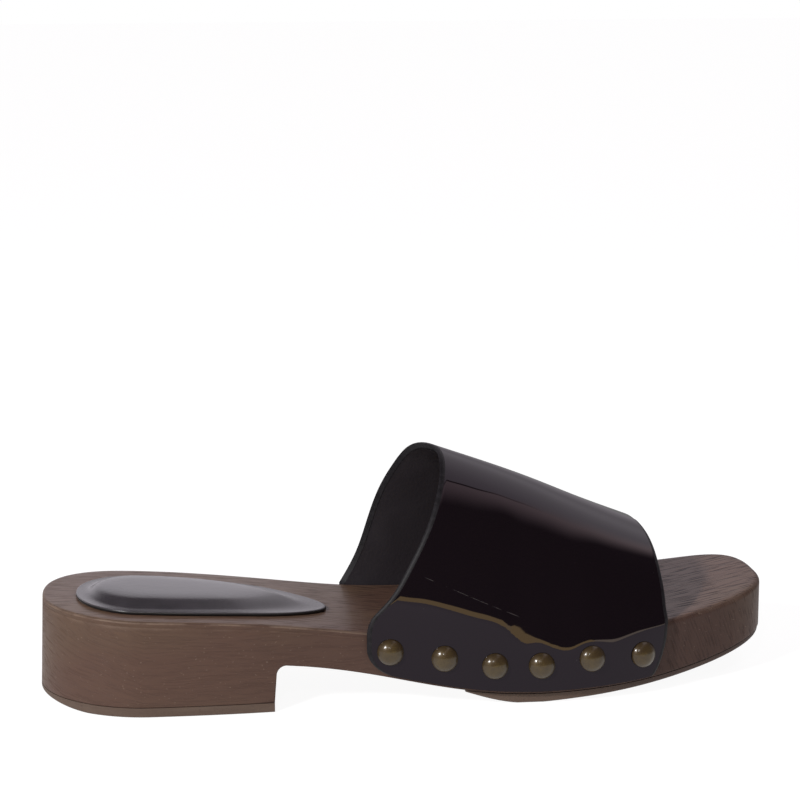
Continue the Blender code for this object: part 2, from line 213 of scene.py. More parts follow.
# Trough above the nails: its height, how far the leather turns in, and where and how soon it comes back
TROUGH_COLUMNS = ("x", "height", "share", "ease", "reach")
TROUGH_SECTIONS = (
    (106.0, 39.0, 0.22, 4.0, 9.0),
    (115.0, 38.6, 0.14, 4.0, 9.0),
    (121.0, 36.8, 0.10, 4.0, 9.0),
    (128.0, 34.5, 0.06, 4.0, 9.0),
    (137.0, 31.6, 0.09, 4.0, 9.0),
    (146.0, 28.0, 0.18, 3.5, 10.0),
    (150.0, 26.6, 0.23, 3.5, 10.0),
    (154.0, 25.2, 0.43, 0.0, 16.0),
    (157.0, 22.6, 0.70, -1.4, 18.0),
    (159.5, 21.0, 0.86, -2.2, 19.5),
    (161.5, 20.2, 0.83, 0.2, 16.0),
    (164.0, 20.1, 0.80, 1.3, 14.0),
    (167.0, 20.6, 0.80, 2.4, 12.0),
    (170.0, 20.1, 0.90, 3.7, 9.0),
    (173.0, 18.9, 0.91, 4.6, 9.0),
    (178.0, 18.8, 0.93, 4.6, 9.0),
    (182.6, 21.0, 0.95, 3.4, 9.0),
    (187.4, 20.6, 0.95, 4.0, 9.0),
    (191.6, 20.0, 0.95, 4.6, 9.0),
    (196.4, 20.7, 0.95, 4.0, 9.0),
    (202.0, 21.8, 0.95, 3.4, 9.0),
    (213.0, 22.4, 0.95, 3.4, 9.0),
)
TROUGH_SLOPE = 0.198
TROUGH_BELOW = 5.0
TROUGH_ABOVE = 2.5
TROUGH_FADE = 12.0

# Nails: each one's x along the flap and its height above the floor
NAIL_PLACES = (
    (116.3, 20.1),
    (134.6, 17.7),
    (151.6, 14.6),
    (167.7, 14.2),
    (184.9, 15.9),
    (203.2, 15.3),
)
NAIL_RADIUS = 4.5
NAIL_DOME = 4.0
NAIL_EDGE = 25.0
NAIL_RIM = 0.35
NAIL_SINK = 0.5
NAIL_LEAN = 5.0
SHANK_RADIUS = 1.0
SHANK_LENGTH = 10.9
NAIL_SIDES = 56
DOME_STEPS = 18
NAIL_SHARP = 60.0
# Each nail is turned on from the last, so that no two show the same spots
NAIL_TURN = 137.5

# Heel pad: its centre line and half width along the footbed, and its crown from the rim inwards
PAD_COLUMNS = ("x", "centre", "half")
PAD_SECTIONS = (
    (11.5, -2.3, 21.6),
    (30.0, -3.7, 22.7),
    (47.0, -5.4, 22.4),
    (65.0, -7.6, 19.6),
    (80.0, -9.2, 16.0),
    (97.5, -9.9, 12.3),
)
PAD_HEEL_REACH = 20.0
PAD_HEEL_POWER = 2.1
PAD_FRONT_REACH = 25.0
PAD_FRONT_POWER = 2.0
PAD_FRONT_RIM = 2.4
PAD_STEPS = 90
PAD_EDGE_ROUND = 0.35
CROWN_COLUMNS = ("inset", "height")
CROWN_SECTIONS = (
    (0.0, 1.0),
    (3.2, 1.02),
    (4.4, 1.35),
    (6.0, 2.45),
    (7.4, 3.15),
    (9.5, 3.55),
    (16.0, 3.85),
    (22.7, 3.90),
)
CROWN_STEPS = 44
CROWN_CROWDING = 1.3

# Scratches on the strap's outer side: where each starts and ends, its height there and how steeply it falls
SCRATCH_COLUMNS = ("start", "end", "height", "fall")
SCRATCHES = (
    (129.5, 143.0, 44.9, 0.45),
    (145.0, 160.5, 37.9, 0.45),
)
SCRATCH_HALF = (0.04, 0.14)
SCRATCH_FADE = 2.0

# Stage
FLOOR_HALF = 4.0
FLOOR_DROP = 0.0002
# How far behind the shoe the floor begins to look dim in shiny faces, and where it is dimmest
DIM_BEHIND = (60.0, 120.0)
WHITE = (1.0, 1.0, 1.0)
SENSOR = 36.0
IMAGE_SIDE = 800.0
CLIP = (0.01, 30.0)
LAMP_DISTANCE = 1.3
KEY_WAY = (-0.61, -0.58, 0.54)
SPARK_WAY = (-0.20, -0.80, 0.56)
# The bright panel's edge, seen in plan: its direction and how far it passes from overhead
PANEL_EDGE_WAY = (0.526, 0.851)
PANEL_EDGE_DISTANCE = 0.445
LOWEST_PLAN = 0.05
# The warm strip in front: its lower edge, its upper one at the ends and in the middle, and their blur
STRIP_LOW = -0.012
STRIP_HIGH = 0.014
STRIP_SWELL = 0.015
STRIP_BLUR = 0.004


def column(rows, names, name):
    return np.array([row[names.index(name)] for row in rows])


def curve_of(rows, names, key, value):
    """The function that reads one column of a table against another, as a smooth curve through its rows."""
    xs = column(rows, names, key)
    ys = column(rows, names, value)
    steps = np.diff(xs)
    slopes = np.diff(ys) / steps
    count = len(xs)
    ties = np.eye(count)
    turns = np.zeros(count)
    for i in range(1, count - 1):
        ties[i, i - 1 : i + 2] = (steps[i - 1], 2 * (steps[i - 1] + steps[i]), steps[i])
        turns[i] = 6 * (slopes[i] - slopes[i - 1])
    bends = np.linalg.solve(ties, turns)

    def read(x):
        i = min(max(int(np.searchsorted(xs, x, side="right")) - 1, 0), count - 2)
        after = (x - xs[i]) / steps[i]
        before = 1 - after
        bend = (before**3 - before) * bends[i] + (after**3 - after) * bends[i + 1]
        return float(before * ys[i] + after * ys[i + 1] + bend * steps[i] ** 2 / 6)

    return read


def smoothstep(x, start, end):
    t = min(max((x - start) / (end - start), 0.0), 1.0)
    return t * t * (3 - 2 * t)


def eased_run(x, start, end):
    """The area under a smoothstep, from its start to x."""
    t = max((x - start) / (end - start), 0.0)
    if t > 1.0:
        return (end - start) * (t - 0.5)
    return (end - start) * (t**3 - 0.5 * t**4)


def rounded_end(distance, reach, power):
    """Share of the full width at a distance from a rounded end."""
    if distance >= reach:
        return 1.0
    return (1 - (1 - max(distance, 0.0) / reach) ** power) ** (1 / power)


sole_half = {side: curve_of(SOLE_SECTIONS, SOLE_COLUMNS, "x", side) for side in SIDES}
sole_top = curve_of(SOLE_SECTIONS, SOLE_COLUMNS, "x", "top")
sole_under = curve_of(SOLE_SECTIONS, SOLE_COLUMNS, "x", "under")
tread_curve = curve_of(TREAD_SECTIONS, TREAD_COLUMNS, "x", "floor")
crest_height = curve_of(CREST_SECTIONS, CREST_COLUMNS, "x", "height")
band_rear = curve_of(BAND_SECTIONS, BAND_COLUMNS, "angle", "rear")
band_front = curve_of(BAND_SECTIONS, BAND_COLUMNS, "angle", "front")
trough_height = curve_of(TROUGH_SECTIONS, TROUGH_COLUMNS, "x", "height")
trough_share = curve_of(TROUGH_SECTIONS, TROUGH_COLUMNS, "x", "share")
trough_ease = curve_of(TROUGH_SECTIONS, TROUGH_COLUMNS, "x", "ease")
trough_reach = curve_of(TROUGH_SECTIONS, TROUGH_COLUMNS, "x", "reach")
pad_centre = curve_of(PAD_SECTIONS, PAD_COLUMNS, "x", "centre")
pad_half = curve_of(PAD_SECTIONS, PAD_COLUMNS, "x", "half")
crown_height = curve_of(CROWN_SECTIONS, CROWN_COLUMNS, "inset", "height")


def tread_floor(x):
    return max(tread_curve(x), 0.0)


def lift_floor(x):
    """Height of the lift's lower face, raised at the back of the heel."""
    return LIFT_BEVEL * max(1 - x / LIFT_BEVEL_REACH, 0.0) ** LIFT_BEVEL_POWER


def sole_axis(x):
    return TOE_SWING * smoothstep(x, SWING_START, LENGTH)


def sole_edge(side, x):
    """Y of the sole's outline on one side."""
    heel = rounded_end(x, HEEL_REACH[side], HEEL_POWER[side])
    toe = rounded_end(LENGTH - x, TOE_REACH[side], TOE_POWER[side])
    return sole_axis(x) + SIDE_SIGN[side] * sole_half[side](x) * heel * toe


def outward(side, x):
    """Unit normal of the sole's outline, pointing away from the sole."""
    if x <= 0.0:
        return Vector((-1.0, 0.0))
    if x >= LENGTH:
        return Vector((1.0, 0.0))
    reach = min(SLOPE_STEP, x, LENGTH - x)
    slope = (sole_edge(side, x + reach) - sole_edge(side, x - reach)) / (2 * reach)
    return Vector((-slope, 1.0)).normalized() * SIDE_SIGN[side]


def edge_point(side, x, offset):
    """The outline's point at x, moved outwards by the offset."""
    return Vector((x, sole_edge(side, x))) + outward(side, x) * offset


def heel_flare(x, z):
    """How far the heel's wall stands out, growing towards the floor and the heel's back."""
    if x >= BREAST:
        return 0.0
    return HEEL_FLARE * (1 - x / BREAST) * (1 - z / sole_top(x))


def shoe_place():
    """Where the back of the heel, on the axis and the floor, lies in the frame, in metres."""
    low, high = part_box("sole")
    widest = min(sole_edge("lateral", x) for x in np.linspace(0.0, LENGTH, OUTLINE_STEPS))
    return Vector((high.x - LENGTH * MM, low.y - widest * MM, 0.0))


SHOE_PLACE = shoe_place()


# Meshes


def loft(name, rings, closed_ring=True, caps=False):
    """A skin through rings of points, in order. A ring that closes up to a line ends the skin by itself."""
    shape = bmesh.new()
    rows = [[shape.verts.new(Vector(point) * MM) for point in ring] for ring in rings]
    for row, after in zip(rows, rows[1:]):
        count = len(row) if closed_ring else len(row) - 1
        for i in range(count):
            j = (i + 1) % len(row)
            shape.faces.new((row[i], row[j], after[j], after[i]))
    if caps:
        shape.faces.new(rows[0])
        shape.faces.new(rows[-1])
    bmesh.ops.remove_doubles(shape, verts=shape.verts, dist=MERGE)
    bmesh.ops.dissolve_degenerate(shape, edges=shape.edges, dist=SLIVER)
    bmesh.ops.recalc_face_normals(shape, faces=shape.faces)
    mesh = bpy.data.meshes.new(name)
    shape.to_mesh(mesh)
    shape.free()
    mesh.shade_smooth()
    return mesh


def add_piece(name, mesh, finishes, node, place=None):
    """Stands a mesh in the frame in place of a packed node."""
    piece = bpy.data.objects.new(name, mesh)
    for finish in finishes:
        mesh.materials.append(finish)
    bpy.context.scene.collection.objects.link(piece)
    piece.matrix_world = Matrix.Translation(SHOE_PLACE) @ (place or Matrix.Identity(4))
    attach(piece, BODY)
    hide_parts(node)
    return piece


def arc(centre, radius, start, end, steps):
    """Points of an arc, its angles in degrees."""
    turns = np.radians(np.linspace(start, end, steps + 1))
    return [(centre[0] + radius * math.cos(turn), centre[1] + radius * math.sin(turn)) for turn in turns]


def heel_stations(count, end):
    """Places along the heel, close together at its round back."""
    return [end * (1 - math.cos(0.5 * math.pi * i / count)) for i in range(count + 1)]


def toe_stations(count, start):
    """Places from start to the toe, close together at its round tip."""
    return [start + (LENGTH - start) * math.sin(0.5 * math.pi * i / count) for i in range(count + 1)]


def breast_profile():
    """Points (x, z) up the heel's front wall and round its fillet to the underside."""
    foot = TOP_PIECE_THICKNESS + GAP
    wall_x = BREAST + BREAST_LEAN
    centre = (wall_x + BREAST_FILLET, sole_under(wall_x + BREAST_FILLET) - BREAST_FILLET)
    shares = np.linspace(0.0, 1.0, BREAST_STEPS, endpoint=False)
    wall = [(BREAST + BREAST_LEAN * share, foot + (centre[1] - foot) * share) for share in shares]
    return wall + arc(centre, BREAST_FILLET, 180.0, 90.0, FILLET_STEPS)


def sole_stations():
    """For each section: x of the footbed, and x and z of the underside."""
    foot = TOP_PIECE_THICKNESS + GAP
    breast = breast_profile()
    first_top = BREAST - BREAST_SPREAD
    last_top = breast[-1][0] + BREAST_SPREAD
    sections = [(x, x, foot) for x in heel_stations(HEEL_STEPS, first_top)]
    for i, (x, z) in enumerate(breast):
        sections.append((first_top + (last_top - first_top) * (i + 1) / (len(breast) + 1), x, z))
    sections += [(x, x, sole_under(x)) for x in toe_stations(TOE_STEPS, last_top)]
    return sections


def dish(x, share):
    """Depth of the footbed's hollow, none at the heel and the toe."""
    rising = smoothstep(x, DISH_START, DISH_START + DISH_FADE)
    falling = smoothstep(x, DISH_END - DISH_FADE, DISH_END)
    return DISH_DEPTH * (rising - falling) * (1 - (2 * share - 1) ** 2)


def sole_side(side, top_x, under_x, under_z):
    """One side of a section, from the underside up the wall and over the rounded top edge."""
    top_z = sole_top(top_x)
    toe_share = smoothstep(top_x, *TOP_ROUND_CHANGE)
    edge_round = TOP_ROUND["heel"] + (TOP_ROUND["toe"] - TOP_ROUND["heel"]) * toe_share
    low = under_z + LOWER_ROUND
    high = top_z - edge_round
    cut = high - LINE_DROP
    profile = [(under_x, x, z) for x, z in arc((-LOWER_ROUND, low), LOWER_ROUND, -90.0, 0.0, ROUND_STEPS)]
    for z in np.linspace(low, cut - LINE_HALF, WALL_STEPS + 1)[1:]:
        x = under_x + (top_x - under_x) * (z - low) / (high - low)
        profile.append((x, 0.0, z))
    depth = LINE_DEPTH * (1 - smoothstep(top_x, *LINE_FADE))
    profile += [(top_x, -depth, cut), (top_x, 0.0, cut + LINE_HALF)]
    profile += [(top_x, x, z) for x, z in arc((-edge_round, high), edge_round, 0.0, 90.0, ROUND_STEPS)]
    points = []
    for x, offset, z in profile:
        place = edge_point(side, x, offset + heel_flare(x, z))
        points.append((place.x, place.y, z))
    return points


def sole_mesh():
    rings = []
    for top_x, under_x, under_z in sole_stations():
        near = sole_side("lateral", top_x, under_x, under_z)
        far = sole_side("medial", top_x, under_x, under_z)
        across = []
        for share in np.linspace(0.0, 1.0, FOOTBED_STEPS + 1)[1:-1]:
            middle = Vector(near[-1]).lerp(Vector(far[-1]), share)
            middle.z -= dish(top_x, share)
            across.append(middle)
        rings.append(near + across + far[::-1])
    return loft("wooden_sole", rings)


def slab_ring(x, inset, rounding, top_z, under_z):
    """A thin section across the sole, its lower corners rounded."""
    profile = arc((-rounding, under_z + rounding), rounding, -90.0, 0.0, ROUND_STEPS) + [(0.0, top_z)]
    ring = []
    for side in SIDES:
        points = []
        for offset, z in profile:
            place = edge_point(side, x, heel_flare(x, z) - inset + offset)
            points.append((place.x, place.y, z))
        ring += points if side == "lateral" else points[::-1]
    return ring


def heel_lift_mesh():
    top = TOP_PIECE_THICKNESS + GAP - SEAM
    rings = []
    for x in heel_stations(HEEL_STEPS, BREAST):
        rings.append(slab_ring(x, TOP_PIECE_INSET, TOP_PIECE_ROUND, top, lift_floor(x)))
    mesh = loft("heel_lift", rings, caps=True)
    mesh.set_sharp_from_angle(angle=math.radians(RUBBER_SHARP))
    return mesh


def tread_mesh():
    start = TREAD_SECTIONS[0][0]
    flat = [row[0] for row in TREAD_SECTIONS if row[1] == 0.0]
    rings = []
    for x in sorted(toe_stations(TREAD_STEPS, start) + flat):
        rings.append(slab_ring(x, TREAD_INSET, TREAD_ROUND, sole_under(x) - GAP, tread_floor(x)))
    mesh = loft("forefoot_rubber", rings, caps=True)
    mesh.set_sharp_from_angle(angle=math.radians(RUBBER_SHARP))
    return mesh


def drawn_in(x, z):
    """How far the leather at x and height z lies inside its plain curve, above the trough over the nails."""
    line = trough_height(x)
    ease = line + trough_ease(x)
    run = eased_run(z, line - TROUGH_BELOW, line + TROUGH_ABOVE) - eased_run(z, ease, ease + trough_reach(x))
    fade = 1 - smoothstep(z, sole_top(x) + TROUGH_FADE, crest_height(x))
    return TROUGH_SLOPE * trough_share(x) * max(run, 0.0) * fade


def flap_point(side, x, share):
    """The strap's outer face on the sole's side, from the flap's lower edge up to the footbed."""
    low = sole_under(x) + FLAP_RISE
    z = low + share * (sole_top(x) - low)
    place = edge_point(side, x, STRAP_STAND - drawn_in(x, z))
    return Vector((place.x, place.y, z))


def arch_point(x, angle):
    """The strap's outer face over the foot, at an angle from the lateral edge over the crest."""
    side = "lateral" if angle <= 90.0 else "medial"
    foot = edge_point(side, x, STRAP_STAND)
    base = sole_top(x)
    middle = sole_axis(x) + CREST_SHIFT
    turn = math.radians(angle)
    z = base + (crest_height(x) - base) * math.sin(turn)
    y = middle + (foot.y - middle) * abs(math.cos(turn))
    return Vector((foot.x, y - SIDE_SIGN[side] * drawn_in(x, z), z))


def corner_cut(share, corner):
    """How far a flap's end is cut back, near its rounded lower corner."""
    return corner["length"] * (1 - rounded_end(share, corner["share"], corner["power"]))


def band_stations(rear, front):
    """Places from the rear edge to the front one, close together where the edges roll in."""
    roll = [ROLL_WIDTH * (1 - math.cos(0.5 * math.pi * i / ROLL_STEPS)) for i in range(ROLL_STEPS)]
    middle = np.linspace(rear + ROLL_WIDTH, front - ROLL_WIDTH, STRAP_STEPS + 1)
    return [rear + step for step in roll] + list(middle) + [front - step for step in roll[::-1]]


def rolled_in(x, rear, front):
    """How far the leather's edge rolls inwards, near the rear and the front."""
    near = max(1 - min(x - rear, front - x) / ROLL_WIDTH, 0.0)
    return ROLL_DEPTH * (1 - math.sqrt(1 - (ROLL_TURN * near) ** 2))


def strap_rows():
    """Each row's points and how far they roll in, from the lateral flap over the foot to the medial one."""
    shares = [(i / FLAP_STEPS) ** FLAP_CROWDING for i in range(FLAP_STEPS)]
    rows = []
    for share in shares:
        rows.append(("lateral", share, 0.0))
    for i in range(ARCH_STEPS + 1):
        rows.append(("arch", 1.0, 180.0 * i / ARCH_STEPS))
    for share in shares[::-1]:
        rows.append(("medial", share, 180.0))
    for kind, share, angle in rows:
        rear = band_rear(angle) + corner_cut(share, REAR_CORNER)
        front = band_front(angle) - corner_cut(share, FRONT_CORNER)
        stations = band_stations(rear, front)
        if kind == "arch":
            points = [arch_point(x, angle) for x in stations]
        else:
            points = [flap_point(kind, x, share) for x in stations]
        yield points, [rolled_in(x, rear, front) for x in stations]


def strap_mesh():
    """The strap's outer face, its rolled edges in the cut edge's finish."""
    rows, rolls = zip(*strap_rows())
    mesh = loft("patent_strap", rows, closed_ring=False)
    upward = sum(face.normal.z * face.area for face in mesh.polygons)
    if upward < 0:
        mesh.flip_normals()
    normals = [vertex.normal.copy() for vertex in mesh.vertices]
    depths = [depth for row in rolls for depth in row]
    for vertex, normal, depth in zip(mesh.vertices, normals, depths):
        vertex.co -= normal * depth * MM
    for face in mesh.polygons:
        if max(depths[i] for i in face.vertices) > 0:
            face.material_index = CUT_EDGE
    return mesh


def give_wall(piece, thickness, edge_round):
    """Thickens the strap inwards, with its lining inside and its cut edge rounded."""
    wall = piece.modifiers.new("leather", "SOLIDIFY")
    wall.thickness = thickness
    wall.offset = -1.0
    wall.use_even_offset = True
    wall.material_offset = LINING
    wall.material_offset_rim = CUT_EDGE
    edge = piece.modifiers.new("edge", "BEVEL")
    edge.width = edge_round
    edge.segments = CUT_EDGE_STEPS
    edge.material = CUT_EDGE
    edge.limit_method = "ANGLE"
    edge.angle_limit = math.radians(CUT_EDGE_SHARP)
    edge.harden_normals = True


def nail_mesh():
    """A domed head on a shank, turned round Z, with its head on the leather at zero."""
    edge = math.radians(NAIL_EDGE)
    profile = []
    for turn in np.radians(np.linspace(90.0, NAIL_EDGE, DOME_STEPS + 1)):
        radius = NAIL_RADIUS * math.cos(turn) / math.cos(edge)
        profile.append((radius, NAIL_RIM + NAIL_DOME * (math.sin(turn) - math.sin(edge))))
    profile += [(NAIL_RADIUS, -NAIL_SINK), (SHANK_RADIUS, -NAIL_SINK)]
    profile += [(SHANK_RADIUS, SHANK_RADIUS - SHANK_LENGTH), (0.0, -SHANK_LENGTH)]
    rings = []
    for radius, height in profile:
        turns = np.linspace(0.0, 2 * math.pi, NAIL_SIDES, endpoint=False)
        rings.append([(radius * math.cos(turn), radius * math.sin(turn), height) for turn in turns])
    mesh = loft("brass_nail", rings)
    mesh.set_sharp_from_angle(angle=math.radians(NAIL_SHARP))
    return mesh


def nail_seat(side, number):
    """Where a nail's head meets the strap, its Z pointing out of the sole's side and a little up."""
    x, height = NAIL_PLACES[number]
    place = edge_point(side, x, STRAP_STAND + GAP)
    aim = outward(side, x).to_3d()
    aim.z = math.tan(math.radians(NAIL_LEAN))
    way = aim.to_track_quat("Z", "Y").to_matrix().to_4x4()
    turn = Matrix.Rotation(math.radians(NAIL_TURN * number), 4, "Z")
    return Matrix.Translation(Vector((place.x, place.y, height)) * MM) @ way @ turn


def pad_ring(inset, height):
    """One closed line round the pad, at a distance in from its rim and a height above the footbed."""
    start = PAD_SECTIONS[0][0]
    end = PAD_SECTIONS[-1][0]
    length = end - start
    widest = max(column(PAD_SECTIONS, PAD_COLUMNS, "half"))
    sides = {side: [] for side in SIDES}
    for i in range(PAD_STEPS + 1):
        x = start + length * (0.5 - 0.5 * math.cos(math.pi * i / PAD_STEPS))
        ends = rounded_end(x - start, PAD_HEEL_REACH, PAD_HEEL_POWER)
        ends *= rounded_end(end - x, PAD_FRONT_REACH, PAD_FRONT_POWER)
        place = start + inset + (x - start) * (1 - (1 + PAD_FRONT_RIM) * inset / length)
        half = pad_half(x) * ends * (1 - inset / widest)
        for side in SIDES:
            y = pad_centre(place) + SIDE_SIGN[side] * half
            sides[side].append((place, y, sole_top(place) + GAP + height))
    return sides["lateral"] + sides["medial"][::-1]


def pad_mesh():
    """The heel pad: a flat rim, a rounded cut edge and a crowned middle, closed underneath."""
    last = CROWN_SECTIONS[-1][0]
    rim = crown_height(0.0) - PAD_EDGE_ROUND
    profile = [(last, 0.0), (0.0, 0.0)]
    profile += [(-x, z) for x, z in arc((-PAD_EDGE_ROUND, rim), PAD_EDGE_ROUND, 0.0, 90.0, ROUND_STEPS)]
    for i in range(1, CROWN_STEPS + 1):
        inset = PAD_EDGE_ROUND + (last - PAD_EDGE_ROUND) * (i / CROWN_STEPS) ** CROWN_CROWDING
        profile.append((inset, crown_height(inset)))
    return loft("padded_seat", [pad_ring(inset, height) for inset, height in profile])


# Shaders


class Wire:
    """One output of a shader's nodes. Arithmetic on wires adds Math nodes beside it."""

    def __init__(self, tree, socket=None):
        self.tree = tree
        self.socket = socket

    def node(self, kind, settings=None, sockets=None, output=0):
        """Adds a node of this kind: its settings first, then the values or wires of its sockets."""
        made = self.tree.nodes.new("ShaderNode" + kind)
        for name, value in (settings or {}).items():
            setattr(made, name, value)
        for name, value in (sockets or {}).items():
            if isinstance(value, Wire):
                self.tree.links.new(value.socket, made.inputs[name])
            else:
                made.inputs[name].default_value = value
        return Wire(self.tree, made.outputs[output])

    def math(self, operation, *values):
        return self.node("Math", {"operation": operation}, dict(enumerate(values)))

    def __add__(self, other):
        return self.math("ADD", self, other)

    def __radd__(self, other):
        return self.math("ADD", other, self)

    def __sub__(self, other):
        return self.math("SUBTRACT", self, other)

    def __rsub__(self, other):
        return self.math("SUBTRACT", other, self)

    def __mul__(self, other):
        return self.math("MULTIPLY", self, other)

    def __rmul__(self, other):
        return self.math("MULTIPLY", other, self)

    def __truediv__(self, other):
        return self.math("DIVIDE", self, other)

    def ramp(self, start, end):
        """0 below start and 1 above end, eased between them."""
        sockets = {"Value": self, "From Min": start, "From Max": end}
        return self.node("MapRange", {"interpolation_type": "SMOOTHSTEP"}, sockets)

    def band(self, start, end, soft):
        """1 between start and end, with soft edges outside them."""
        return self.ramp(start - soft, start) * (1 - self.ramp(end, end + soft))

    def mix(self, low, high):
        """The colour that goes from low to high as this value goes from 0 to 1."""
        return self.node("Mix", {"data_type": "RGBA"}, {0: self, 6: low, 7: high}, output=2)

    def parts(self):
        """The X, Y and Z of a vector."""
        split = self.node("SeparateXYZ", sockets={0: self}).socket.node
        return [Wire(self.tree, output) for output in split.outputs]

    def joined(self, x, y, z):
        return self.node("CombineXYZ", sockets={0: x, 1: y, 2: z})

    def stretched(self, factors):
        """A vector with each part multiplied."""
        return self.node("VectorMath", {"operation": "MULTIPLY"}, {0: self, 1: factors})

    def tint(self, colour):
        """A colour as bright as this value."""
        return self.node("VectorMath", {"operation": "SCALE"}, {0: colour, "Scale": self})

    def plus(self, other):
        """The sum of two colours."""
        return self.node("VectorMath", {"operation": "ADD"}, {0: self, 1: other})

    def noise(self, scale, detail=2.0, roughness=0.5):
        """Soft noise about a half, over this vector."""
        sockets = {"Vector": self, "Scale": scale, "Detail": detail, "Roughness": roughness}
        return self.node("TexNoise", sockets=sockets)

    def bump(self, distance):
        """A normal from this height, where 1 stands for the distance in metres."""
        sockets = {"Height": self, "Strength": 1.0, "Distance": distance}
        return self.node("Bump", sockets=sockets, output="Normal")


def new_finish(name, constants):
    """A material with one Principled shader, whose even values are set on its own sockets."""
    made = bpy.data.materials.new(name)
    made.use_nodes = True
    shader = made.node_tree.nodes["Principled BSDF"]
    for socket, value in constants.items():
        shader.inputs[socket].default_value = value
    return made, Wire(made.node_tree)


def feed(made, wires):
    """Links wires to the shader's sockets."""
    shader = made.node_tree.nodes["Principled BSDF"]
    for socket, wire in wires.items():
        made.node_tree.links.new(wire.socket, shader.inputs[socket])
    return made


def solid(colour):
    return (*colour, 1.0)


def own_place(wire):
    """A point in the piece's own axes, in millimetres."""
    place = wire.node("TexCoord", output="Object")
    return place.stretched((1 / MM, 1 / MM, 1 / MM))


def own_normal(wire):
    return wire.node("TexCoord", output="Normal")


def grain_place(wire, place, upward):
    """How far along the grain and across it a point lies, and in which layer.

    The grain bends round the back of the heel. On the footbed it runs straight and no layers show.
    """
    x, y, z = place.parts()
    behind = wire.math("MAXIMUM", GRAIN_BEND - x, 0.0)
    aside = wire.math("ABSOLUTE", y)
    wander = place.stretched((0.010, 0.03, 0.03)).noise(1.0) - 0.5
    round_heel = wire.math("MAXIMUM", x, GRAIN_BEND) - wire.math("ARCTAN2", behind, aside) * GRAIN_BEND
    from_bend = wire.math("SQRT", behind * behind + aside * aside)
    along = x * upward + round_heel * (1 - upward)
    across = y * upward + from_bend * (1 - upward) + wander * 8.0
    layer = (z - behind * 0.3 + wander * 14.0) * (1 - upward)
    return along, across, layer


def wood_finish(look):
    """Stained wood: dark pores along the grain, steep strokes on the toe's side, worn edges, a satin top, and
    painted shade on the sides.
    """
    constants = {
        "IOR": 1.45,
        "Specular IOR Level": 0.2,
        "Coat Roughness": look.coat_roughness,
        "Coat IOR": 1.5,
    }
    made, wire = new_finish("stained_wood", constants)
    place = own_place(wire)
    x, y, z = place.parts()
    _, _, facing = own_normal(wire).parts()
    upward = facing.ramp(0.6, 0.95)
    along, across, layer = grain_place(wire, place, upward)
    toe_end = x.ramp(196.0, 214.0) * (1 - upward)
    round_toe = x - wire.math("ABSOLUTE", y)

    threads = wire.joined(along * 0.03, across * 0.35, layer * 0.55).noise(1.0, 4.0, 0.6)
    pores = wire.joined(along * 0.10, across * 1.3, layer * 1.9).noise(1.0, 3.0).ramp(0.49, 0.64)
    strokes = wire.joined(round_toe * 1.1 + z * 0.6, z * 0.16, 0.0).noise(1.0, 3.0).ramp(0.48, 0.66)
    marks = pores * (1 - toe_end) + strokes * toe_end
    deep = 0.11 + upward * (0.30 + x.ramp(60.0, 190.0) * 0.40) + toe_end * 0.30
    patches = place.stretched((0.014, 0.022, 0.03)).noise(1.0).ramp(0.36, 0.64)
    specks = place.stretched((0.9, 0.9, 1.5)).noise(1.0, 1.0).ramp(0.70, 0.76) * (1 - upward)

    edge = facing.ramp(0.12, 0.45) * (1 - facing.ramp(0.80, 0.97)) * (1 - x.ramp(70.0, 150.0) * 0.7)
    worn = edge * place.noise(0.09, 4.0, 0.65).ramp(0.34, 0.60)

    ground = patches.mix(solid(look.brown), solid(look.red_brown))
    # Painted shade: the sides, not the footbed, are mixed towards the dark colour. It deepens towards the toe
    # and eases at the toe's tip as painted light.
    depth = 0.46 + x.ramp(10.0, 210.0) * 0.36 - x.ramp(232.0, 254.0) * 0.35
    ground = (depth * (1 - upward)).mix(ground, solid(look.dark))
    ground = (threads.ramp(0.38, 0.66) * 0.16).mix(ground, solid(look.thread))
    ground = (marks * deep).mix(ground, solid(look.pore))
    ground = (specks * 0.25).mix(ground, solid(look.worn))
    ground = (worn * 0.50).mix(ground, solid(look.worn))

    relief = threads * 0.35 + specks * 0.5 - marks
    return feed(made, {
        "Base Color": ground,
        "Roughness": 0.48 + marks * 0.15 + worn * 0.12,
        "Coat Weight": upward * look.coat * (1 - marks * 0.4) * (1 - x.ramp(70.0, 120.0) * 0.3),
        "Normal": relief.bump(0.00006),
    })


def rubber_finish(look):
    """Brown rubber, matt and finely speckled, ribbed where it meets the floor, with painted shade towards the
    toe.
    """
    made, wire = new_finish("brown_rubber", {"IOR": 1.45})
    place = own_place(wire)
    x, _, _ = place.parts()
    _, _, facing = own_normal(wire).parts()
    # Painted shade: this mask darkens the rubber towards the toe.
    stain = x.ramp(170.0, 215.0) * 0.7
    grain = place.noise(1.6, 3.0)
    scuffs = place.stretched((0.05, 0.2, 0.5)).noise(1.0, 4.0, 0.6)
    facing_down = 1 - facing.ramp(-0.95, -0.80)
    ribs = wire.math("PINGPONG", x * 0.5, 1.0).ramp(0.35, 0.65) * facing_down
    colour = (scuffs.ramp(0.42, 0.68) * 0.6).mix(solid(look.rubber), solid(look.rubber_worn))
    colour = stain.mix(colour, solid(look.dark))
    colour = (grain.ramp(0.56, 0.72) * 0.4).mix(colour, solid(look.dark))
    relief = grain * 0.15 + ribs
    return feed(made, {
        "Base Color": colour,
        "Roughness": 0.58 + scuffs * 0.22,
        "Normal": relief.bump(0.0004),
    })


